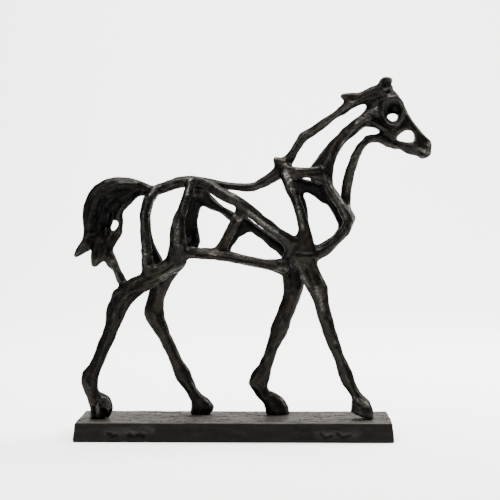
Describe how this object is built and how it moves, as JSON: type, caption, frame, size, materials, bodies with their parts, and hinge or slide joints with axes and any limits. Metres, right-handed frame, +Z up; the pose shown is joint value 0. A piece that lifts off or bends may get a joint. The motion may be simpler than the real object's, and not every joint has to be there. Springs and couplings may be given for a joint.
{
  "type": "horse statue",
  "caption": "Openwork cast iron statue of a walking horse on a flat rectangular plinth, a table or shelf ornament.",
  "frame": {"origin": "centre of the plinth's flat underside", "axes": "+X towards the horse's head, +Y towards the horse's left side, +Z up"},
  "size_m": [0.2569, 0.07, 0.2571],
  "materials": {
    "blackened_iron": "blackened cast skin, semi-gloss, slightly pitted, dark grey where rubbed",
    "plinth_iron": "blackened cast iron, its top brushed lengthwise and mottled grey-brown"
  },
  "bodies": {
    "root": {"plinth": "plinth_iron", "horse": "blackened_iron"}
  },
  "joints": []
}
